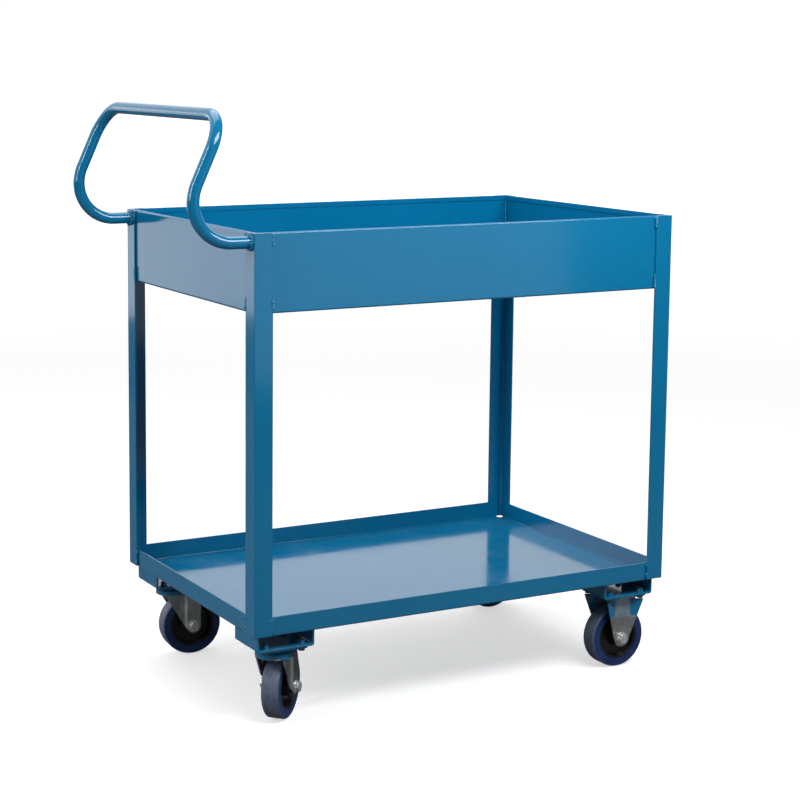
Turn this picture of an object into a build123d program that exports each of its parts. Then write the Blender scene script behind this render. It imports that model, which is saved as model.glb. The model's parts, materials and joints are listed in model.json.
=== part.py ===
from build123d import *
import os
from math import cos, radians, sin, tan

# Two-tier table trolley: an angle-iron frame, a deep tray on top, a shallow shelf below, a bent tube
# push handle at one end, two swivel casters under the handle end and two rigid casters at the front.
# Millimetres. +Z is up and the floor is z = 0. +X points from the handle to the front, +Y is the left.

# Frame
frame_length = 1000.0
frame_width = 645.0
post_height = 802.0
angle_leg = 40.0
angle_thickness = 4.0
angle_root_radius = 4.0
angle_edge_radius = 1.0
post_tip_radius = 5.0

# Folded sheet tray and shelf
sheet = 2.0
sheet_bend = 4.0
sheet_corner = 5.0
tray_depth = 158.0
hem_height = 11.0
hem_outer_radius = 3.0
shelf_lip = 40.0
shelf_drop = 2.5
relief_radius = 8.0
relief_inset = 7.0
relief_height = 6.0
lip_notch = 11.0

# Push handle
tube_diameter = 25.0
tube_wall = 2.0
weld_below_top = 18.5
neck_reach = 40.0
neck_radius = 80.0
handle_slant = 24.5
bar_above_top = 225.0
handle_corner_radius = 70.0

# Caster brackets: channels with their legs up against the shelf
bracket_length = 127.0
bracket_width = 105.0
bracket_height = 35.0
bracket_thickness = 4.0
bracket_bend = 6.0
bracket_inset = 15.0

# Caster plates and their bolts
plate_length = 105.0
plate_width = 100.0
plate_thickness = 4.0
plate_corner = 8.0
hole_spacing_x = 82.0
hole_spacing_y = 80.0
plate_hole_radius = 4.5
bolt_radius = 4.0
bolt_head_width = 13.0
bolt_head_height = 5.5
bolt_washer_radius = 8.0
bolt_washer_thickness = 1.6
bolt_nut_height = 6.5
bolt_end = 2.5
hex_corner_ratio = 1.1
thread_gap = 0.05

# Wheels
wheel_radius = 68.0
tyre_width = 38.0
tyre_shoulder = 5.0
tyre_bore_radius = 50.0
rim_width = 35.0
rim_thickness = 5.0
web_width = 14.0
boss_radius = 20.0
boss_tip_radius = 14.5
boss_tip_length = 5.0
boss_length = 59.0
boss_draft = 2.0
rim_draft = 3.0
bearing_outer_radius = 12.5
bearing_shell = 1.5
bearing_length = 40.0
roller_count = 10
running_gap = 0.05
sleeve_radius = 8.5
axle_radius = 6.0
axle_hole_gap = 0.2
axle_head_width = 19.0
axle_head_height = 7.5
axle_washer_radius = 13.5
axle_washer_thickness = 2.0
axle_nut_height = 7.0
axle_end = 1.5

# Forks
fork_sheet = 3.0
fork_inner_gap = 60.0
caster_height = 167.5
rigid_flat_width = 41.0
rigid_top_width = 102.0
rigid_flank_slope = 22.0
rigid_tip_radius = 19.0
rigid_notch_height = 8.0
rigid_notch_start = 31.5

# Swivel head
trail = 37.0
swivel_tip_radius = 16.5
crown_radius = 40.0
crown_top_radius = 36.0
crown_height = 15.5
crown_web = 6.0
crown_skirt = 5.0
crown_gap = 1.0
race_height = 5.0
race_outer_radius = 35.0
race_inner_radius = 21.0
ball_circle_radius = 28.0
ball_radius = 3.0
ball_clearance = 0.3
ball_count = 20
king_radius = 6.0
king_head_radius = 10.0
king_nut_width = 19.0
king_nut_height = 8.0
king_end = 1.5
dust_ring_radius = 38.5
dust_ring_wall = 1.5
leg_front = -30.0
leg_rear = 44.0
leg_shoulder_drop = 28.0
panel_depth = 2.5
pad_start = 22.0
groove_start = 2.0
swivel_right_angle = 43.0
swivel_left_angle = -6.0

# Worked out from the above
shelf_underside = caster_height + bracket_height
post_foot = shelf_underside + shelf_drop
post_top = post_foot + post_height
half_length = frame_length / 2
half_width = frame_width / 2
panel_length = frame_length - 2 * angle_thickness
panel_width = frame_width - 2 * angle_thickness
caster_x = half_length - bracket_inset - bracket_length / 2
caster_y = half_width - bracket_inset - bracket_width / 2
plate_bottom = caster_height - plate_thickness
web_top = caster_height + bracket_thickness
leg_inner = fork_inner_gap / 2
leg_outer = leg_inner + fork_sheet
bar_height = post_top + bar_above_top
weld_height = post_top - weld_below_top
neck_back = half_length + neck_reach + neck_radius + tube_diameter / 2
origin_shift = (neck_back - half_length) / 2
race_bottom = plate_bottom - race_height
crown_top = race_bottom - crown_gap
crown_bottom = crown_top - crown_height
crown_roof = crown_top - crown_web
leg_top = crown_bottom + fork_sheet
ball_height = crown_top + crown_gap / 2

BOTTOM = (Align.CENTER, Align.CENTER, Align.MIN)
TOP = (Align.CENTER, Align.CENTER, Align.MAX)
ACROSS = Rot(-90, 0, 0)  # turns a cylinder's axis from +Z to +Y

parts = {}


def add(name, shape):
    """Stores a piece under its node name, moved so that the whole trolley is centred on the origin."""
    parts[name] = Pos(origin_shift, 0, 0) * shape


def rounded_box(length, width, height, corner, bottom):
    """A box on z = 0 with rounded upright edges and a rounded bottom edge."""
    box = Box(length, width, height, align=BOTTOM)
    box = fillet(box.edges().filter_by(Axis.Z), corner)
    return fillet(box.faces().sort_by(Axis.Z)[0].edges(), bottom)


def folded_tray(depth):
    """A sheet metal pan folded up on all four sides, standing on z = 0."""
    outside = rounded_box(panel_length, panel_width, depth, sheet_corner, sheet_bend)
    inside = rounded_box(
        panel_length - 2 * sheet, panel_width - 2 * sheet, depth, sheet_corner - sheet, sheet_bend - sheet
    )
    return outside - Pos(0, 0, sheet) * inside


def hex_prism(across_flats, height):
    """A hexagon head or nut standing on z = 0."""
    hexagon = RegularPolygon(radius=across_flats / 2, side_count=6, major_radius=False)
    prism = extrude(hexagon, height)
    corners = Cylinder(hex_corner_ratio * across_flats / 2, height, align=BOTTOM)
    return prism & corners


def ring(outer, inner, height):
    """A flat ring standing on z = 0."""
    return Cylinder(outer, height, align=BOTTOM) - Cylinder(inner, height, align=BOTTOM)


# ---------------------------------------------------------------- angle-iron posts

root_corner = angle_leg - angle_thickness
section = Rectangle(angle_leg, angle_leg, align=(Align.MAX, Align.MAX))
root = (-angle_thickness, -angle_thickness)
section -= Pos(*root) * Rectangle(root_corner, root_corner, align=(Align.MAX, Align.MAX))
section = fillet(section.vertices().sort_by_distance(root)[0], angle_root_radius)
section = fillet(section.vertices().sort_by_distance((0, 0))[0], angle_edge_radius)
post = extrude(section, post_height)
tips = post.faces().sort_by(Axis.Z)[-1].edges().filter_by(lambda e: abs(e.length - angle_thickness) < 0.01)
post = fillet(tips, post_tip_radius)

post_names = {0: "post_front_left", 90: "post_rear_left", 180: "post_rear_right", 270: "post_front_right"}
for turn, name in post_names.items():
    corner_x = half_length if turn in (0, 270) else -half_length
    corner_y = half_width if turn in (0, 90) else -half_width
    add(name, Pos(corner_x, corner_y, post_foot) * Rot(0, 0, turn) * post)

# ---------------------------------------------------------------- upper tray and lower shelf

hem_length = panel_length - 2 * sheet
hem_width = panel_width - 2 * sheet
hem_corner = sheet_corner - sheet
hem = Box(hem_length, hem_width, hem_height, align=TOP)
hem = fillet(hem.edges().filter_by(Axis.Z), hem_corner)
hem -= Box(hem_length - 2 * sheet, hem_width - 2 * sheet, hem_height, align=TOP)
tray = folded_tray(tray_depth) + Pos(0, 0, tray_depth) * hem
rim = tray.faces().sort_by(Axis.Z)[-1]
tray = fillet(rim.outer_wire().edges(), hem_outer_radius)
add("upper_tray", Pos(0, 0, post_top - tray_depth) * tray)

shelf = folded_tray(shelf_lip)
for side_x in (-1, 1):
    for side_y in (-1, 1):
        hole_x = side_x * (panel_length / 2 - relief_inset)
        hole_y = side_y * (panel_width / 2 - relief_inset)
        shelf -= Pos(hole_x, hole_y, 0) * Cylinder(relief_radius, 2 * relief_height)
        notch = Box(2 * lip_notch, 2 * lip_notch, shelf_lip, align=BOTTOM)
        shelf -= Pos(side_x * panel_length / 2, side_y * panel_width / 2, sheet_bend) * notch
add("lower_shelf", Pos(0, 0, shelf_underside) * shelf)

# ---------------------------------------------------------------- push handle


def bent_path(points, radii):
    """Straight runs between the points, with an arc of the given radius at each inner point."""
    pieces = []
    start = Vector(*points[0])
    for before, here, after, radius in zip(points, points[1:], points[2:], radii):
        here = Vector(*here)
        inward = (here - Vector(*before)).normalized()
        onward = (Vector(*after) - here).normalized()
        half_turn = radians(inward.get_angle(onward)) / 2
        tangent = radius * tan(half_turn)
        first = here - inward * tangent
        last = here + onward * tangent
        towards_centre = (onward - inward).normalized()
        middle = here + towards_centre * (radius / cos(half_turn) - radius)
        pieces.append(Line(start, first))
        pieces.append(ThreePointArc(first, middle, last))
        start = last
    pieces.append(Line(start, Vector(*points[-1])))
    return Wire([edge for piece in pieces for edge in piece.edges()])


leg_y = half_width - angle_leg / 2
neck_corner = half_length + neck_reach + neck_radius * tan(radians(45 + handle_slant / 2))
bar_x = neck_corner - (bar_height - weld_height) * tan(radians(handle_slant))
handle_points = [
    (-half_length, -leg_y, weld_height),
    (-neck_corner, -leg_y, weld_height),
    (-bar_x, -leg_y, bar_height),
    (-bar_x, leg_y, bar_height),
    (-neck_corner, leg_y, weld_height),
    (-half_length, leg_y, weld_height),
]
handle_radii = [neck_radius, handle_corner_radius, handle_corner_radius, neck_radius]
handle_path = bent_path(handle_points, handle_radii)
tube_plane = Plane(origin=handle_points[0], z_dir=(-1, 0, 0))
tube_outside = sweep(tube_plane * Circle(tube_diameter / 2), path=handle_path)
tube_inside = sweep(tube_plane * Circle(tube_diameter / 2 - tube_wall), path=handle_path)
add("push_handle", tube_outside - tube_inside)

# ---------------------------------------------------------------- caster brackets and plate bolts

hole_places = [
    Pos(side_x * hole_spacing_x / 2, side_y * hole_spacing_y / 2) for side_x in (-1, 1) for side_y in (-1, 1)
]

channel = Rectangle(bracket_length, bracket_height, align=(Align.CENTER, Align.MIN))
channel = fillet(channel.vertices().group_by(Axis.Y)[0], bracket_bend)
hollow = Rectangle(bracket_length - 2 * bracket_thickness, bracket_height, align=(Align.CENTER, Align.MIN))
hollow = fillet(hollow.vertices().group_by(Axis.Y)[0], bracket_bend - bracket_thickness)
channel -= Pos(0, bracket_thickness) * hollow
bracket = extrude(Plane.XZ * channel, bracket_width / 2, both=True)
for place in hole_places:
    bracket -= place * Cylinder(plate_hole_radius, 3 * bracket_thickness)

bolt_length = plate_thickness + bracket_thickness + bolt_washer_thickness + bolt_nut_height + bolt_end
plate_bolt = Pos(0, 0, -bolt_head_height) * hex_prism(bolt_head_width, bolt_head_height)
plate_bolt += Cylinder(bolt_radius, bolt_length, align=BOTTOM)
plate_washer = ring(bolt_washer_radius, bolt_radius + thread_gap, bolt_washer_thickness)
plate_nut = hex_prism(bolt_head_width, bolt_nut_height)
plate_nut -= Cylinder(bolt_radius + thread_gap, bolt_nut_height, align=BOTTOM)
plate_nut = plate_washer + Pos(0, 0, bolt_washer_thickness) * plate_nut

corners = {
    "front_left": Pos(caster_x, caster_y, 0),
    "front_right": Pos(caster_x, -caster_y, 0),
    "rear_left": Pos(-caster_x, caster_y, 0),
    "rear_right": Pos(-caster_x, -caster_y, 0),
}
for corner, place in corners.items():
    bolts = [place * hole * Pos(0, 0, plate_bottom) * plate_bolt for hole in hole_places]
    nuts = [place * hole * Pos(0, 0, web_top) * plate_nut for hole in hole_places]
    add("caster_bracket_" + corner, place * Pos(0, 0, caster_height) * bracket)
    add("plate_bolts_" + corner, Compound(children=bolts))
    add("plate_nuts_" + corner, Compound(children=nuts))

# ---------------------------------------------------------------- wheel, its bearing and its axle
# Each of these is built round the Y axis, with the axle at the origin.


def turned(points):
    """A solid of revolution about Y, from (radius, y) points."""
    return revolve(make_face(Polyline(*points, close=True)), Axis.Y)


tyre_middle = (wheel_radius + tyre_bore_radius) / 2
tyre_profile = Pos(tyre_middle, 0) * Rectangle(wheel_radius - tyre_bore_radius, tyre_width)
tyre_profile = fillet(tyre_profile.vertices().group_by(Axis.X)[-1], tyre_shoulder)
tyre = revolve(tyre_profile, Axis.Y)

rim_inner = tyre_bore_radius - rim_thickness
boss_shoulder = boss_length / 2 - boss_tip_length
hub = turned(
    [
        (bearing_outer_radius, -boss_length / 2),
        (boss_tip_radius, -boss_length / 2),
        (boss_tip_radius, -boss_shoulder),
        (boss_radius, -boss_shoulder),
        (boss_radius + boss_draft, -web_width / 2),
        (rim_inner - rim_draft, -web_width / 2),
        (rim_inner, -rim_width / 2),
        (tyre_bore_radius, -rim_width / 2),
        (tyre_bore_radius, rim_width / 2),
        (rim_inner, rim_width / 2),
        (rim_inner - rim_draft, web_width / 2),
        (boss_radius + boss_draft, web_width / 2),
        (boss_radius, boss_shoulder),
        (boss_tip_radius, boss_shoulder),
        (boss_tip_radius, boss_length / 2),
        (bearing_outer_radius, boss_length / 2),
    ]
)

roller_inner = sleeve_radius + running_gap
roller_radius = (bearing_outer_radius - bearing_shell / 2 - roller_inner) / 2
bearing = ring(bearing_outer_radius, bearing_outer_radius - bearing_shell, bearing_length)
for location in PolarLocations(roller_inner + roller_radius, roller_count):
    bearing += location * Cylinder(roller_radius, bearing_length, align=BOTTOM)
bearing = ACROSS * Pos(0, 0, -bearing_length / 2) * bearing

sleeve = ring(sleeve_radius, axle_radius + axle_hole_gap / 2, fork_inner_gap)
sleeve = ACROSS * Pos(0, 0, -fork_inner_gap / 2) * sleeve

washer_face = leg_outer + axle_washer_thickness
axle_length = 2 * washer_face + axle_nut_height + axle_end
axle_bolt = Pos(0, 0, -washer_face - axle_head_height) * hex_prism(axle_head_width, axle_head_height)
axle_bolt += Pos(0, 0, -washer_face) * Cylinder(axle_radius, axle_length, align=BOTTOM)
axle_bolt += Pos(0, 0, -washer_face) * Cylinder(axle_washer_radius, axle_washer_thickness, align=BOTTOM)
axle_bolt = ACROSS * axle_bolt

axle_nut = hex_prism(axle_head_width, axle_nut_height)
axle_nut -= Cylinder(axle_radius + thread_gap, axle_nut_height, align=BOTTOM)
axle_nut += Pos(0, 0, -axle_washer_thickness) * ring(
    axle_washer_radius, axle_radius + thread_gap, axle_washer_thickness
)
axle_nut = ACROSS * Pos(0, 0, washer_face) * axle_nut

wheel_pieces = {
    "tyre": tyre,
    "wheel_hub": hub,
    "roller_bearing": bearing,
    "axle_sleeve": sleeve,
    "axle_bolt": axle_bolt,
    "axle_nut": axle_nut,
}

# ---------------------------------------------------------------- rigid caster fork
# Built with its plate centred on the origin in plan and the floor at z = 0.


def drilled_plate():
    """The top plate that the four bolts hold against a bracket."""
    plate = Box(plate_length, plate_width, plate_thickness, align=BOTTOM)
    plate = fillet(plate.edges().filter_by(Axis.Z), plate_corner)
    for hole in hole_places:
        plate -= hole * Cylinder(plate_hole_radius, 3 * plate_thickness)
    return Pos(0, 0, plate_bottom) * plate


def tapered_side(top_points, axle_x, tip_radius):
    """The outline of a fork leg in X and Z: a straight-sided top that narrows to a round tip at the axle."""
    tip = Pos(axle_x, wheel_radius) * Circle(tip_radius)
    hull = make_hull(tip.edges() + Polyline(*top_points).edges())
    return extrude(Plane.XZ * make_face(hull.edges()), 2 * plate_width, both=True)


def leg_section(points, height_from, height_to):
    """A fork leg's bent sheet seen from above, from its outer face's points, raised between two heights."""
    inner = [(x, y - fork_sheet) for x, y in reversed(points)]
    outline = make_face(Polyline(*points, *inner, close=True))
    return Pos(0, 0, height_from) * extrude(outline, height_to - height_from)


axle_hole = Pos(0, 0, wheel_radius) * ACROSS * Cylinder(axle_radius + axle_hole_gap, 2 * plate_width)

rigid_half_flat = rigid_flat_width / 2
rigid_half_top = rigid_top_width / 2
flank_edge = leg_outer + (rigid_half_top - rigid_half_flat) * tan(radians(rigid_flank_slope))
rigid_leg = leg_section(
    [
        (-rigid_half_top, flank_edge),
        (-rigid_half_flat, leg_outer),
        (rigid_half_flat, leg_outer),
        (rigid_half_top, flank_edge),
    ],
    0,
    plate_bottom,
)
rigid_shoulders = [(-rigid_half_top, plate_bottom), (rigid_half_top, plate_bottom)]
rigid_leg &= tapered_side(rigid_shoulders, 0, rigid_tip_radius)
for side_x in (-1, 1):
    notch_x = side_x * (rigid_notch_start + plate_length / 2)
    rigid_leg -= Pos(notch_x, 0, plate_bottom) * Box(plate_length, 2 * plate_width, 2 * rigid_notch_height)
rigid_fork = drilled_plate() + rigid_leg + mirror(rigid_leg, about=Plane.XZ) - axle_hole

# ---------------------------------------------------------------- swivel caster head and fork
# The wheel trails behind the king bolt along +X before the caster is turned.

ball_groove = Pos(0, 0, ball_height) * Torus(ball_circle_radius, ball_radius + ball_clearance)
top_plate = drilled_plate() + Pos(0, 0, race_bottom) * ring(race_outer_radius, race_inner_radius, race_height)
top_plate -= ball_groove
king_seat = Pos(0, 0, plate_bottom) * Cone(king_radius, king_head_radius, plate_thickness, align=BOTTOM)
top_plate -= king_seat

swivel_balls = [
    location * Pos(0, 0, ball_height) * Sphere(ball_radius)
    for location in PolarLocations(ball_circle_radius, ball_count)
]

nut_top = crown_roof - ball_clearance
nut_bottom = nut_top - king_nut_height
king_bottom = nut_bottom - king_end
king_shank = Cylinder(king_radius, plate_bottom - king_bottom, align=BOTTOM)
king_bolt = king_seat + Pos(0, 0, king_bottom) * king_shank
king_nut = hex_prism(king_nut_width, king_nut_height)
king_nut -= Cylinder(king_radius + thread_gap, king_nut_height, align=BOTTOM)
king_nut = Pos(0, 0, nut_bottom) * king_nut

dust_ring = ring(dust_ring_radius - dust_ring_wall, dust_ring_radius - 2 * dust_ring_wall, race_height)
dust_ring = Pos(0, 0, race_bottom) * dust_ring

crown = Cylinder(crown_radius, crown_height, align=BOTTOM)
crown = chamfer(crown.edges().filter_by(GeomType.CIRCLE).sort_by(Axis.Z)[-1], crown_radius - crown_top_radius)
crown -= Cylinder(crown_radius - crown_skirt, crown_height - crown_web, align=BOTTOM)
crown = Pos(0, 0, crown_bottom) * crown

swivel_leg = leg_section(
    [
        (leg_front, leg_outer - panel_depth),
        (groove_start - panel_depth, leg_outer - panel_depth),
        (groove_start, leg_outer - 2 * panel_depth),
        (pad_start - 2 * panel_depth, leg_outer - 2 * panel_depth),
        (pad_start, leg_outer),
        (trail + swivel_tip_radius, leg_outer),
    ],
    0,
    leg_top,
)
swivel_outline = [
    (leg_front, leg_top),
    (leg_rear, leg_top),
    (trail + swivel_tip_radius, leg_top - leg_shoulder_drop),
]
swivel_leg &= tapered_side(swivel_outline, trail, swivel_tip_radius)

leg_roof = Pos(leg_front, 0) * Rectangle(leg_rear - leg_front, 2 * leg_outer, align=(Align.MIN, Align.CENTER))
leg_roof = fillet(leg_roof.vertices(), plate_corner)
leg_roof -= Circle(crown_radius - crown_skirt)
leg_roof = Pos(0, 0, crown_bottom) * extrude(leg_roof, fork_sheet)
swivel_fork = crown + leg_roof + swivel_leg + mirror(swivel_leg, about=Plane.XZ)
swivel_fork -= Pos(trail, 0, 0) * axle_hole
swivel_fork -= Cylinder(king_radius + running_gap, 2 * caster_height)
swivel_fork -= ball_groove

swivel_pieces = {
    "caster_top_plate": top_plate,
    "swivel_fork": swivel_fork,
    "swivel_balls": Compound(children=swivel_balls),
    "king_bolt": king_bolt,
    "king_nut": king_nut,
    "dust_ring": dust_ring,
}

# ---------------------------------------------------------------- the four casters in place

for corner in ("front_left", "front_right"):
    place = corners[corner]
    add("rigid_fork_" + corner, place * rigid_fork)
    for name, piece in wheel_pieces.items():
        add(name + "_" + corner, place * Pos(0, 0, wheel_radius) * piece)

for corner, angle in (("rear_left", swivel_left_angle), ("rear_right", swivel_right_angle)):
    place = corners[corner]
    turned_place = place * Rot(0, 0, angle)
    for name, piece in swivel_pieces.items():
        fixed = name == "caster_top_plate"
        add(name + "_" + corner, (place if fixed else turned_place) * piece)
    for name, piece in wheel_pieces.items():
        add(name + "_" + corner, turned_place * Pos(trail, 0, wheel_radius) * piece)

os.makedirs("parts", exist_ok=True)
for name, shape in parts.items():
    export_step(shape, "parts/" + name + ".step")
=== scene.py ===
import json
import math

import bmesh
import bpy
from mathutils import Matrix, Vector, noise


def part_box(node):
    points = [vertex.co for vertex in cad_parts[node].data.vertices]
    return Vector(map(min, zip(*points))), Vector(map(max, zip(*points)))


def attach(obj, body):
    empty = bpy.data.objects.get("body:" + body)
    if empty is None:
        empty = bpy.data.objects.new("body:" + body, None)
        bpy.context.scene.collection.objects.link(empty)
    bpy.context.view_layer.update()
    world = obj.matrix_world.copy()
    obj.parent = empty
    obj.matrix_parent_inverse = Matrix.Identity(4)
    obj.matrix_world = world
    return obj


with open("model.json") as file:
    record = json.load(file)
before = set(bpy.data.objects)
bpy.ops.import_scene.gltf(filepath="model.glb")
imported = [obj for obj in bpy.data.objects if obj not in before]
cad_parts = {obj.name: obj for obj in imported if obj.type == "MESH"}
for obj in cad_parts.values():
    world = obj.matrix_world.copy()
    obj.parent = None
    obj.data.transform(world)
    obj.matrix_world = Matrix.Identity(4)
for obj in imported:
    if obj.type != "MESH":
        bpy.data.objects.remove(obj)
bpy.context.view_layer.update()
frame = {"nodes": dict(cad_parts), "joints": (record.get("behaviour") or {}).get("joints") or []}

nodes = frame["nodes"]
CORNERS = ("front_left", "front_right", "rear_left", "rear_right")
SWIVEL_CORNERS = ("rear_left", "rear_right")
MM = 0.001

# ---------------------------------------------------------------- node graphs


class Graph:
    """One node material, built by short calls. Coordinates are the object's own, in metres."""

    def __init__(self, name):
        self.material = bpy.data.materials.new(name)
        self.material.use_nodes = True
        self.tree = self.material.node_tree
        self.tree.nodes.clear()
        self.shader = self.node("ShaderNodeBsdfPrincipled")
        output = self.node("ShaderNodeOutputMaterial")
        self.tree.links.new(self.shader.outputs[0], output.inputs["Surface"])
        self.place = self.node("ShaderNodeTexCoord").outputs["Object"]

    def node(self, kind, **settings):
        made = self.tree.nodes.new(kind)
        for key, value in settings.items():
            setattr(made, key, value)
        return made

    def feed(self, socket, value):
        if isinstance(value, bpy.types.NodeSocket):
            self.tree.links.new(value, socket)
        else:
            socket.default_value = value

    def noise(self, scale, detail=2.0, roughness=0.5, vector=None, distortion=0.0):
        made = self.node("ShaderNodeTexNoise")
        self.feed(made.inputs["Vector"], vector or self.place)
        made.inputs["Scale"].default_value = scale
        made.inputs["Detail"].default_value = detail
        made.inputs["Roughness"].default_value = roughness
        made.inputs["Distortion"].default_value = distortion
        return made.outputs["Fac"]

    def cells(self, scale, vector=None, feature="F1", output="Distance"):
        made = self.node("ShaderNodeTexVoronoi", feature=feature)
        self.feed(made.inputs["Vector"], vector or self.place)
        made.inputs["Scale"].default_value = scale
        return made.outputs[output]

    def math(self, operation, first, second=0.0, clamp=False):
        made = self.node("ShaderNodeMath", operation=operation, use_clamp=clamp)
        self.feed(made.inputs[0], first)
        self.feed(made.inputs[1], second)
        return made.outputs[0]

    def vector(self, operation, first, second=(0, 0, 0), scale=1.0):
        made = self.node("ShaderNodeVectorMath", operation=operation)
        self.feed(made.inputs[0], first)
        if operation == "SCALE":
            made.inputs["Scale"].default_value = scale
        elif operation != "LENGTH":
            self.feed(made.inputs[1], second)
        return made.outputs["Value" if operation in ("DOT_PRODUCT", "LENGTH") else "Vector"]

    def span(self, value, low, high, to_low=0.0, to_high=1.0, smooth=False):
        """value from low..high to to_low..to_high, held at the ends."""
        made = self.node("ShaderNodeMapRange", interpolation_type="SMOOTHSTEP" if smooth else "LINEAR")
        self.feed(made.inputs["Value"], value)
        for key, number in (("From Min", low), ("From Max", high), ("To Min", to_low), ("To Max", to_high)):
            made.inputs[key].default_value = number
        return made.outputs["Result"]

    def blend(self, factor, first, second):
        made = self.node("ShaderNodeMix", data_type="RGBA")
        self.feed(made.inputs["Factor"], factor)
        self.feed(made.inputs[6], first)
        self.feed(made.inputs[7], second)
        return made.outputs[2]

    def mix(self, factor, first, second):
        made = self.node("ShaderNodeMix", data_type="FLOAT")
        self.feed(made.inputs[0], factor)
        self.feed(made.inputs[2], first)
        self.feed(made.inputs[3], second)
        return made.outputs[0]

    def bump(self, height, distance, strength=1.0, normal=None):
        made = self.node("ShaderNodeBump")
        self.feed(made.inputs["Height"], height)
        made.inputs["Distance"].default_value = distance
        made.inputs["Strength"].default_value = strength
        if normal is not None:
            self.feed(made.inputs["Normal"], normal)
        return made.outputs["Normal"]

    def stretch(self, x, y, z):
        return self.vector("MULTIPLY", self.place, (x, y, z))

    def rounded(self, radius):
        """The surface's normal with its sharp edges rounded off by that radius, and how near an edge each point is."""
        made = self.node("ShaderNodeBevel", samples=6)
        made.inputs["Radius"].default_value = radius
        normal = made.outputs["Normal"]
        flat = self.node("ShaderNodeNewGeometry").outputs["Normal"]
        turn = self.vector("DOT_PRODUCT", normal, flat)
        return normal, self.span(turn, 0.995, 0.85)

    def set(self, **inputs):
        for key, value in inputs.items():
            self.feed(self.shader.inputs[key.replace("_", " ")], value)
        return self.material


def rgb(red, green, blue):
    return (red, green, blue, 1.0)


# ---------------------------------------------------------------- materials

PAINT_DEEP = rgb(0.0012, 0.150, 0.315)
PAINT_BRIGHT = rgb(0.0028, 0.172, 0.352)
PAINT_EDGE_SHEEN = rgb(0.020, 0.230, 0.420)
DUST = rgb(0.42, 0.44, 0.45)
ZINC_DARK = rgb(0.24, 0.26, 0.26)
ZINC_LIGHT = rgb(0.72, 0.76, 0.76)
BOUNCE_DARK = rgb(0.12, 0.12, 0.12)
BOUNCE_LIGHT = rgb(0.16, 0.16, 0.16)
FLOOR_GLOW_NEAR = 0.58
FLOOR_GLOW_FAR = 1.0


def paint_layers(g, edge_radius, gloss=1.0):
    """Glossy stoved enamel: colour, roughness and normal."""
    drift = g.span(g.noise(2.3, 2), 0.35, 0.65)
    mottle = g.span(g.noise(45, 4, 0.6), 0.3, 0.7)
    colour = g.blend(g.mix(0.3, drift, mottle), PAINT_DEEP, PAINT_BRIGHT)
    rounded, edge = g.rounded(edge_radius)
    # Painted highlight: the rounded edges are painted a lighter blue, standing in for the light they catch.
    edge_sheen = g.math("MULTIPLY", edge, g.span(g.noise(130, 3), 0.4, 0.62))
    colour = g.blend(g.math("MULTIPLY", edge_sheen, 0.45), colour, PAINT_EDGE_SHEEN)
    up = g.node("ShaderNodeSeparateXYZ")
    g.feed(up.inputs[0], g.node("ShaderNodeNewGeometry").outputs["Normal"])
    lying = g.span(up.outputs["Z"], 0.7, 1.0)
    specks = g.span(g.noise(900, 2), 0.66, 0.74)
    haze = g.span(g.noise(14, 4, 0.6), 0.4, 0.75)
    dusty = g.math("ADD", g.math("MULTIPLY", specks, 0.08), g.math("MULTIPLY", haze, 0.06))
    dusty = g.math("MULTIPLY", lying, dusty)
    colour = g.blend(dusty, colour, DUST)
    rough = g.math("ADD", g.span(g.noise(7, 4, 0.65), 0.3, 0.7, 0.09 / gloss, 0.14 / gloss), g.math("MULTIPLY", dusty, 1.2))
    peel = g.noise(330, 2, 0.5)
    waves = g.noise(26, 2, 0.5)
    normal = g.bump(waves, 0.00003, 0.5, rounded)
    normal = g.bump(peel, 0.000014, 0.5, normal)
    return colour, rough, normal


def paint_material(name, edge_radius=0.0013, gloss=1.0):
    g = Graph(name)
    colour, rough, normal = paint_layers(g, edge_radius, gloss)
    return g.set(Base_Color=colour, Roughness=rough, Normal=normal, Coat_Weight=0.2, Coat_Roughness=0.05)


def zinc_layers(g, streak=(900, 900, 60)):
    """Zinc-plated pressed steel: a dull bright coat with a faint spangle, rolling streaks and a painted highlight along
    its edges.
    """
    cloud = g.span(g.noise(32, 4, 0.6), 0.3, 0.7)
    spangle = g.cells(160, feature="F1", output="Distance")
    streaks = g.noise(1.0, 3, 0.6, vector=g.stretch(*streak))
    colour = g.blend(g.mix(0.6, cloud, g.span(streaks, 0.3, 0.7)), ZINC_DARK, ZINC_LIGHT)
    rounded, edge = g.rounded(0.0006)
    # Painted highlight: the edges are painted a lighter zinc where they would catch light.
    zinc_edge_highlight = g.math("MULTIPLY", edge, g.span(g.noise(210, 3), 0.35, 0.6))
    colour = g.blend(g.math("MULTIPLY", zinc_edge_highlight, 0.6), colour, rgb(0.62, 0.62, 0.61))
    stain = g.span(g.noise(75, 5, 0.7, distortion=0.6), 0.58, 0.72)
    colour = g.blend(g.math("MULTIPLY", stain, 0.25), colour, rgb(0.16, 0.15, 0.13))
    rough = g.math("ADD", g.span(spangle, 0.0, 0.9, 0.30, 0.42), g.math("MULTIPLY", stain, 0.12))
    normal = g.bump(streaks, 0.00003, 0.5, rounded)
    normal = g.bump(g.noise(420, 3, 0.6), 0.00003, 0.6, normal)
    return colour, rough, normal


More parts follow.
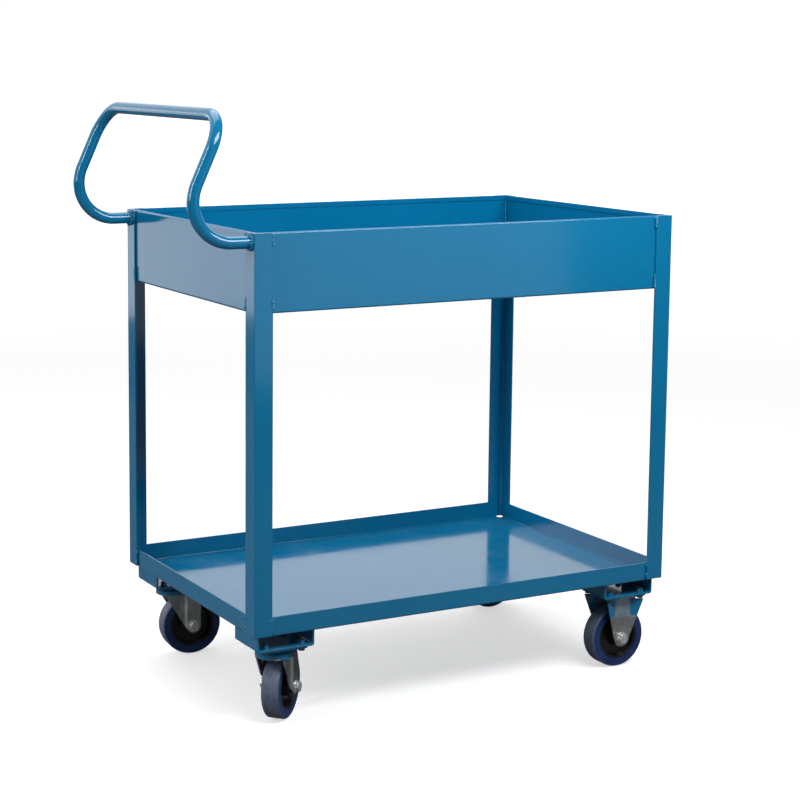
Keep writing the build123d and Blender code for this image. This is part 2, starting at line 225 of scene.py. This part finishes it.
def sprayed_zinc_material(name, low, high, centre_x=None, half_flat=0.0):
    """A zinc part whose top was caught by the frame's blue paint, which fades out between two heights."""
    g = Graph(name)
    zinc_colour, zinc_rough, zinc_normal = zinc_layers(g)
    paint_colour, paint_rough, paint_normal = paint_layers(g, 0.0006)
    split = g.node("ShaderNodeSeparateXYZ")
    g.feed(split.inputs[0], g.place)
    ragged = g.math("MULTIPLY", g.math("SUBTRACT", g.noise(120, 4, 0.6), 0.5), 0.02)
    cover = g.span(g.math("ADD", split.outputs["Z"], ragged), low, high, smooth=True)
    if centre_x is not None:
        off = g.math("ABSOLUTE", g.math("SUBTRACT", split.outputs["X"], centre_x))
        cover = g.math("MULTIPLY", cover, g.span(off, half_flat - 0.004, half_flat + 0.002, 0.45, 1.0))
    colour = g.blend(cover, zinc_colour, paint_colour)
    rough = g.mix(cover, zinc_rough, paint_rough)
    metal = g.math("SUBTRACT", 1.0, cover)
    return g.set(Base_Color=colour, Roughness=rough, Metallic=metal, Normal=zinc_normal)


def bolt_material(name, dark, light, rough_low, rough_high, metal=0.85, edge_highlight_amount=0.5):
    g = Graph(name)
    cloud = g.span(g.noise(160, 4, 0.6), 0.3, 0.7)
    rounded, edge = g.rounded(0.0008)
    colour = g.blend(cloud, dark, light)
    # Painted highlight: the rounded edges are painted near-white, by the given amount.
    colour = g.blend(g.math("MULTIPLY", edge, edge_highlight_amount), colour, rgb(0.92, 0.92, 0.91))
    grime = g.span(g.noise(330, 4, 0.65), 0.6, 0.75)
    colour = g.blend(g.math("MULTIPLY", grime, 0.35), colour, rgb(0.10, 0.10, 0.10))
    rough = g.math("ADD", g.span(g.noise(500, 3), 0.3, 0.7, rough_low, rough_high), g.math("MULTIPLY", grime, 0.15))
    normal = g.bump(g.noise(900, 3), 0.00002, 0.5, rounded)
    return g.set(Base_Color=colour, Roughness=rough, Normal=normal, Metallic=metal)


def wheel_place(g, centre, axis):
    """Distance along the wheel's axis and out from it."""
    offset = g.vector("SUBTRACT", g.place, tuple(centre))
    along = g.vector("DOT_PRODUCT", offset, tuple(axis))
    total = g.vector("LENGTH", offset)
    squares = g.math("SUBTRACT", g.math("MULTIPLY", total, total), g.math("MULTIPLY", along, along))
    return offset, along, g.math("SQRT", g.math("MAXIMUM", squares, 0.0))


def tyre_material(name, centre, axis, radius):
    """Elastic rubber: a grey, scuffed running surface and clean navy sides with fine moulding rings."""
    g = Graph(name)
    offset, along, out = wheel_place(g, centre, axis)
    running = g.span(out, 0.955 * radius, 0.980 * radius, smooth=True)
    ragged = g.math("ADD", out, g.math("MULTIPLY", g.math("SUBTRACT", g.noise(260, 3), 0.5), 0.0025))
    dusty_edge = g.span(ragged, 0.960 * radius, 0.985 * radius, smooth=True)
    side = g.blend(g.span(g.noise(60, 3), 0.3, 0.7), rgb(0.006, 0.026, 0.110), rgb(0.010, 0.042, 0.160))
    tread = g.blend(g.span(g.noise(85, 4, 0.65), 0.3, 0.7), rgb(0.075, 0.098, 0.165), rgb(0.135, 0.165, 0.25))
    scuff = g.span(g.noise(240, 5, 0.7), 0.60, 0.72)
    tread = g.blend(g.math("MULTIPLY", scuff, 0.5), tread, rgb(0.20, 0.21, 0.24))
    colour = g.blend(g.math("MAXIMUM", dusty_edge, g.math("MULTIPLY", running, 0.4)), side, tread)
    # Painted highlight: a thin light blue-grey line round the shoulder, where the rounded edge would catch light.
    off_line = g.math("ABSOLUTE", g.math("SUBTRACT", ragged, 0.962 * radius))
    shoulder_highlight = g.math("MULTIPLY", g.span(off_line, 0.0003, 0.0011, 1.0, 0.0), 0.5)
    colour = g.blend(shoulder_highlight, colour, rgb(0.20, 0.27, 0.38))
    rough = g.mix(dusty_edge, g.span(g.noise(120, 3), 0.3, 0.7, 0.34, 0.46), g.span(g.noise(90, 3), 0.3, 0.7, 0.52, 0.68))
    rings = g.math("SINE", g.math("MULTIPLY", out, 2 * math.pi / 0.0022))
    rings = g.math("MULTIPLY", rings, g.math("SUBTRACT", 1.0, running))
    grain = g.noise(700, 3, 0.6)
    normal = g.bump(rings, 0.00003, 0.5)
    normal = g.bump(grain, 0.00006, 0.5, normal)
    normal = g.bump(scuff, 0.0001, 0.4, normal)
    return g.set(Base_Color=colour, Roughness=rough, Normal=normal)


def hub_material(name, centre, axis):
    """Black moulded nylon with faint turned rings and a little dust."""
    g = Graph(name)
    offset, along, out = wheel_place(g, centre, axis)
    colour = g.blend(g.span(g.noise(70, 3), 0.3, 0.7), rgb(0.006, 0.006, 0.007), rgb(0.014, 0.014, 0.015))
    dust = g.span(g.noise(210, 4, 0.7), 0.62, 0.75)
    colour = g.blend(g.math("MULTIPLY", dust, 0.10), colour, rgb(0.22, 0.22, 0.21))
    rings = g.math("SINE", g.math("MULTIPLY", out, 2 * math.pi / 0.0042))
    rounded, edge = g.rounded(0.0008)
    rough = g.math("ADD", g.span(g.noise(130, 3), 0.3, 0.7, 0.26, 0.38), g.math("MULTIPLY", dust, 0.2))
    normal = g.bump(rings, 0.00010, 0.5, rounded)
    normal = g.bump(g.noise(800, 2), 0.00003, 0.4, normal)
    return g.set(Base_Color=colour, Roughness=rough, Normal=normal)


def dress(node_name, material):
    """Gives a CAD node its finish."""
    slots = nodes[node_name].material_slots
    for slot in slots:
        slot.material = material


wheel_axis = {
    joint["child"]: Vector(joint["axis"]).normalized() for joint in frame["joints"] if joint["name"].startswith("roll_")
}

blue_paint = paint_material("blue_enamel")
sheet_paint = paint_material("blue_enamel_on_sheet", edge_radius=0.0014)
weld_paint = paint_material("blue_enamel_on_weld", edge_radius=0.0004, gloss=1.25)
bright_steel = bolt_material(
    "bright_fastener", rgb(0.50, 0.52, 0.53), rgb(0.88, 0.89, 0.90), 0.12, 0.24, metal=0.6, edge_highlight_amount=0.9
)
dull_steel = bolt_material("dull_fastener", rgb(0.05, 0.07, 0.085), rgb(0.10, 0.13, 0.16), 0.35, 0.5)
race_steel = bolt_material("bearing_steel_finish", rgb(0.36, 0.36, 0.36), rgb(0.55, 0.55, 0.54), 0.2, 0.35)

for node_name in nodes:
    dress(node_name, sheet_paint if node_name in ("upper_tray", "lower_shelf") else blue_paint)
for corner in CORNERS:
    tyre_low, tyre_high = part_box("tyre_" + corner)
    axis = wheel_axis["wheel_" + corner]
    centre = (tyre_low + tyre_high) / 2
    radius = (tyre_high.z - tyre_low.z) / 2
    dress("tyre_" + corner, tyre_material("tyre_rubber_" + corner, centre, axis, radius))
    dress("wheel_hub_" + corner, hub_material("hub_nylon_" + corner, centre, axis))
    dress("roller_bearing_" + corner, race_steel)
    dress("axle_sleeve_" + corner, race_steel)
    dress("axle_bolt_" + corner, bright_steel)
    dress("axle_nut_" + corner, bright_steel)
    dress("plate_bolts_" + corner, dull_steel)
for corner in SWIVEL_CORNERS:
    fork_low, fork_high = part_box("swivel_fork_" + corner)
    crown_bottom = fork_high.z - 15.5 * MM
    dress(
        "swivel_fork_" + corner,
        sprayed_zinc_material("sprayed_zinc_" + corner, crown_bottom - 1.5 * MM, crown_bottom + 1.5 * MM),
    )
    dress("swivel_balls_" + corner, race_steel)
    dress("king_bolt_" + corner, bright_steel)
    dress("king_nut_" + corner, bright_steel)
for side in ("left", "right"):
    node_name = "rigid_fork_front_" + side
    low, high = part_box(node_name)
    dress(
        node_name,
        sprayed_zinc_material(
            "sprayed_zinc_front_" + side, low.z + 62 * MM, low.z + 72 * MM, (low.x + high.x) / 2, 20.5 * MM
        ),
    )

# ---------------------------------------------------------------- weld beads


def lump(place, size):
    return noise.noise(place / size)


def bead_mesh(path, radius, closed=False, ripple=3.6 * MM):
    """A weld run: a rippled, lumpy tube along the path, rounded off at both ends unless it closes on itself."""
    sides = 12
    mesh = bmesh.new()
    rings = []
    count = len(path)
    travelled = 0.0
    side_dir = None
    for i, point in enumerate(path):
        before = path[i - 1] if i or closed else path[i]
        after = path[(i + 1) % count] if i < count - 1 or closed else path[i]
        forward = (after - before).normalized()
        if i:
            travelled += (point - path[i - 1]).length
        if side_dir is None:
            side_dir = forward.orthogonal().normalized()
        side_dir = (side_dir - forward * side_dir.dot(forward)).normalized()
        other = forward.cross(side_dir)
        swell = 0.72 + 0.36 * abs(math.sin(math.pi * travelled / ripple)) ** 0.6 + 0.50 * lump(point, 0.006)
        if not closed:
            end_gap = min(i, count - 1 - i) / 4
            if end_gap < 1:
                swell *= math.sqrt(max(1 - (1 - end_gap) ** 2, 0.04))
        drift = side_dir * lump(point + Vector((7, 1, 3)), 0.009) + other * lump(point + Vector((2, 9, 5)), 0.009)
        hub = point + drift * radius * 0.35
        ring = []
        for k in range(sides):
            angle = 2 * math.pi * k / sides
            reach = radius * swell * (1 + 0.10 * lump(point + side_dir * math.cos(angle) * radius, 0.003))
            ring.append(mesh.verts.new(hub + (side_dir * math.cos(angle) + other * math.sin(angle)) * reach))
        rings.append(ring)
    pairs = list(zip(rings, rings[1:]))
    if closed:
        pairs.append((rings[-1], rings[0]))
    for a, b in pairs:
        for k in range(sides):
            mesh.faces.new((a[k], a[(k + 1) % sides], b[(k + 1) % sides], b[k]))
    if not closed:
        mesh.faces.new(list(reversed(rings[0])))
        mesh.faces.new(rings[-1])
    bmesh.ops.recalc_face_normals(mesh, faces=mesh.faces)
    for face in mesh.faces:
        face.smooth = True
    data = bpy.data.meshes.new("bead")
    mesh.to_mesh(data)
    mesh.free()
    return data


def line(start, end, step=0.0005):
    count = max(int((end - start).length / step), 6)
    return [start.lerp(end, i / count) for i in range(count + 1)]


def join_meshes(name, meshes):
    joined = bmesh.new()
    for data in meshes:
        joined.from_mesh(data)
        bpy.data.meshes.remove(data)
    made = bpy.data.meshes.new(name)
    joined.to_mesh(made)
    joined.free()
    return made


def weld_piece(name, meshes):
    data = join_meshes(name, meshes)
    data.materials.append(weld_paint)
    piece = bpy.data.objects.new(name, data)
    bpy.context.scene.collection.objects.link(piece)
    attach(piece, "frame")
    return piece


tray_low, tray_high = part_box("upper_tray")
shelf_low, shelf_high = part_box("lower_shelf")
handle_low, handle_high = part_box("push_handle")
TUBE_RADIUS = 12.5 * MM
WELD_HEIGHT = 18.5 * MM
SHEET = 2 * MM
LIP_NOTCH = 11 * MM

for corner in CORNERS:
    post_low, post_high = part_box("post_" + corner)
    sign_x = 1 if corner.startswith("front") else -1
    sign_y = 1 if corner.endswith("left") else -1
    outer_x = post_high.x if sign_x > 0 else post_low.x
    outer_y = post_high.y if sign_y > 0 else post_low.y
    inner_x = post_low.x if sign_x > 0 else post_high.x
    inner_y = post_low.y if sign_y > 0 else post_high.y
    panel_x = tray_high.x if sign_x > 0 else tray_low.x
    panel_y = tray_high.y if sign_y > 0 else tray_low.y
    # The flange along X ends at inner_x against the side panel, and the flange along Y at inner_y against the end panel.
    seams = (
        lambda z: Vector((inner_x - sign_x * 0.6 * MM, panel_y + sign_y * 2.6 * MM, z)),
        lambda z: Vector((panel_x + sign_x * 2.6 * MM, inner_y - sign_y * 0.6 * MM, z)),
    )
    runs = []
    for seam in seams:
        for low_z, high_z, radius in (
            (tray_high.z - 26 * MM, tray_high.z - 1.5 * MM, 3.4 * MM),
            (tray_low.z + 2 * MM, tray_low.z + 32 * MM, 3.4 * MM),
            (shelf_high.z - 10 * MM, shelf_high.z - 2 * MM, 2.8 * MM),
            (shelf_low.z + 5 * MM, shelf_low.z + 17 * MM, 2.6 * MM),
        ):
            runs.append(bead_mesh(line(seam(low_z), seam(high_z)), radius))
    weld_piece("weld_runs_" + corner, runs)

    # Where the tray's folds meet at its inside corner, and where the shelf's lips end against the post.
    inside = SHEET + 0.9 * MM
    fold_x = panel_x - sign_x * inside
    fold_y = panel_y - sign_y * inside
    seam_low = Vector((fold_x, fold_y, tray_low.z + 4 * MM))
    seam_high = Vector((fold_x, fold_y, tray_high.z - 13 * MM))
    weld_piece("weld_fold_tray_" + corner, [bead_mesh(line(seam_low, seam_high), 1.5 * MM, ripple=3.2 * MM)])
    lip_seams = (
        lambda z: Vector((panel_x - sign_x * LIP_NOTCH, panel_y - sign_y * 0.6 * MM, z)),
        lambda z: Vector((panel_x - sign_x * 0.6 * MM, panel_y - sign_y * LIP_NOTCH, z)),
    )
    stitches = []
    for seam in lip_seams:
        stitches.append(bead_mesh(line(seam(shelf_low.z + 14 * MM), seam(shelf_high.z - 4 * MM)), 1.5 * MM))
    weld_piece("weld_lips_" + corner, stitches)

for side, sign_y in (("left", 1), ("right", -1)):
    leg_y = (handle_high.y if sign_y > 0 else handle_low.y) - sign_y * TUBE_RADIUS
    post_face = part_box("post_rear_" + side)[0].x
    ring = []
    for i in range(150):
        angle = 2 * math.pi * i / 150
        reach = TUBE_RADIUS + 0.8 * MM
        ring.append(
            Vector((
                post_face - 1.2 * MM,
                leg_y + reach * math.cos(angle),
                tray_high.z - WELD_HEIGHT + reach * math.sin(angle),
            ))
        )
    weld_piece("weld_ring_handle_" + side, [bead_mesh(ring, 4 * MM, closed=True, ripple=5 * MM)])

for corner in CORNERS:
    low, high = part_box("caster_bracket_" + corner)
    runs = []
    for x in (low.x - 0.8 * MM, high.x + 0.8 * MM):
        for start, end in ((0.06, 0.30), (0.70, 0.94)):
            a = Vector((x, low.y + (high.y - low.y) * start, high.z - 2.4 * MM))
            b = Vector((x, low.y + (high.y - low.y) * end, high.z - 2.4 * MM))
            runs.append(bead_mesh(line(a, b), 2.5 * MM))
    weld_piece("weld_bracket_" + corner, runs)

# ---------------------------------------------------------------- floor, light and camera

STAGE_RADIUS = 40.0


def stage_piece(name, mesh, material):
    data = bpy.data.meshes.new(name)
    mesh.to_mesh(data)
    mesh.free()
    data.materials.append(material)
    piece = bpy.data.objects.new(name, data)
    bpy.context.scene.collection.objects.link(piece)
    return piece


def disc(radius, height):
    mesh = bmesh.new()
    turns = [2 * math.pi * i / 96 for i in range(96)]
    mesh.faces.new([mesh.verts.new((radius * math.cos(a), radius * math.sin(a), height)) for a in turns])
    return mesh


def seen_by(piece, camera_rays, light_rays):
    """Whether the camera sees a stage piece, and whether light bounces off it onto the trolley."""
    piece.visible_camera = camera_rays
    piece.visible_diffuse = light_rays
    piece.visible_glossy = light_rays
    piece.visible_transmission = light_rays
    piece.visible_shadow = light_rays


# The pale floor and backdrop are what the camera sees. A grey sheet just under the floor takes their place for the
# light that reaches the trolley from below, so that its lower half isn't washed out.
g = Graph("pale_floor")
far = g.span(g.vector("LENGTH", g.place), 1.5, 12.0, smooth=True)
floor_colour = g.blend(g.noise(0.8, 3), rgb(0.60, 0.605, 0.61), rgb(0.64, 0.64, 0.64))
g.set(
    Base_Color=floor_colour,
    Roughness=g.span(g.noise(30, 3), 0.3, 0.7, 0.7, 0.85),
    Specular_IOR_Level=0.2,
    Emission_Color=rgb(1, 1, 1),
    Emission_Strength=g.span(far, 0.0, 1.0, FLOOR_GLOW_NEAR, FLOOR_GLOW_FAR),
)
floor = stage_piece("floor", disc(STAGE_RADIUS, -0.5 * MM), g.material)
seen_by(floor, True, False)

g = Graph("grey_sheet")
g.set(Base_Color=g.blend(g.noise(0.8, 3), BOUNCE_DARK, BOUNCE_LIGHT), Roughness=0.8)
bounce = stage_piece("bounce_sheet", disc(STAGE_RADIUS, -3 * MM), g.material)
seen_by(bounce, False, True)

dome = bmesh.new()
bmesh.ops.create_uvsphere(dome, u_segments=64, v_segments=32, radius=STAGE_RADIUS * 0.98)
g = Graph("white_backdrop")
g.set(Base_Color=rgb(0, 0, 0), Roughness=1.0, Emission_Color=rgb(1, 1, 1), Emission_Strength=1.0)
backdrop = stage_piece("backdrop", dome, g.material)
seen_by(backdrop, True, False)


def soft_light(name, place, target, width, height, power, colour=(1, 1, 1)):
    data = bpy.data.lights.new(name, "AREA")
    data.shape = "RECTANGLE"
    data.size = width
    data.size_y = height
    data.energy = power
    data.color = colour
    light = bpy.data.objects.new(name, data)
    bpy.context.scene.collection.objects.link(light)
    light.location = place
    light.rotation_mode = "QUATERNION"
    light.rotation_quaternion = (Vector(target) - Vector(place)).to_track_quat("-Z", "Y")
    light.visible_camera = False
    return light


soft_light("key", (0.45, -1.6, 2.05), (0.15, -0.3, 0.9), 2.0, 0.7, 52)
soft_light("top", (0.0, 0.9, 3.2), (0.0, 0.0, 0.6), 2.6, 2.0, 34)
soft_light("end_glow", (-1.9, 3.3, 1.0), (-0.45, 0.0, 0.8), 2.2, 1.4, 13)
soft_light("left_side", (-3.0, -0.6, 1.9), (-0.5, 0.0, 0.8), 0.45, 1.8, 36)
soft_light("front_sheen", (1.5, -3.3, 0.6), (0.0, -0.3, 0.8), 1.5, 1.0, 2.6)

world = bpy.data.worlds.new("studio")
world.use_nodes = True
bpy.context.scene.world = world
sky = world.node_tree.nodes
sky_links = world.node_tree.links
background = sky["Background"]
direction = sky.new("ShaderNodeTexCoord").outputs["Generated"]
towards = sky.new("ShaderNodeVectorMath")
towards.operation = "DOT_PRODUCT"
sky_links.new(direction, towards.inputs[0])
towards.inputs[1].default_value = (-0.25, 0.95, 0.15)
level = sky.new("ShaderNodeMapRange")
level.interpolation_type = "SMOOTHSTEP"
sky_links.new(towards.outputs["Value"], level.inputs["Value"])
for key, number in (("From Min", 0.0), ("From Max", 0.75), ("To Min", 0.05), ("To Max", 1.0)):
    level.inputs[key].default_value = number
sky_links.new(level.outputs["Result"], background.inputs["Strength"])
background.inputs["Color"].default_value = (1, 1, 1, 1)

scene = bpy.context.scene
scene.view_settings.view_transform = "Standard"

AZIMUTH = math.radians(27.41)
PITCH = math.radians(7.507)
ROLL = math.radians(0.256)
ahead = Vector((math.sin(AZIMUTH) * math.cos(PITCH), math.cos(AZIMUTH) * math.cos(PITCH), -math.sin(PITCH)))
level_right = ahead.cross(Vector((0, 0, 1))).normalized()
level_up = level_right.cross(ahead)
right = math.cos(ROLL) * level_right + math.sin(ROLL) * level_up
up = math.cos(ROLL) * level_up - math.sin(ROLL) * level_right
camera_data = bpy.data.cameras.new("camera")
camera_data.lens = 86.24
camera_data.sensor_width = 36.0
camera_data.shift_x = 0.12
camera_data.shift_y = -0.12
camera = bpy.data.objects.new("camera", camera_data)
scene.collection.objects.link(camera)
camera.matrix_world = Matrix.Translation((-2.0331, -3.6136, 1.3533)) @ Matrix((right, up, -ahead)).transposed().to_4x4()
scene.camera = camera
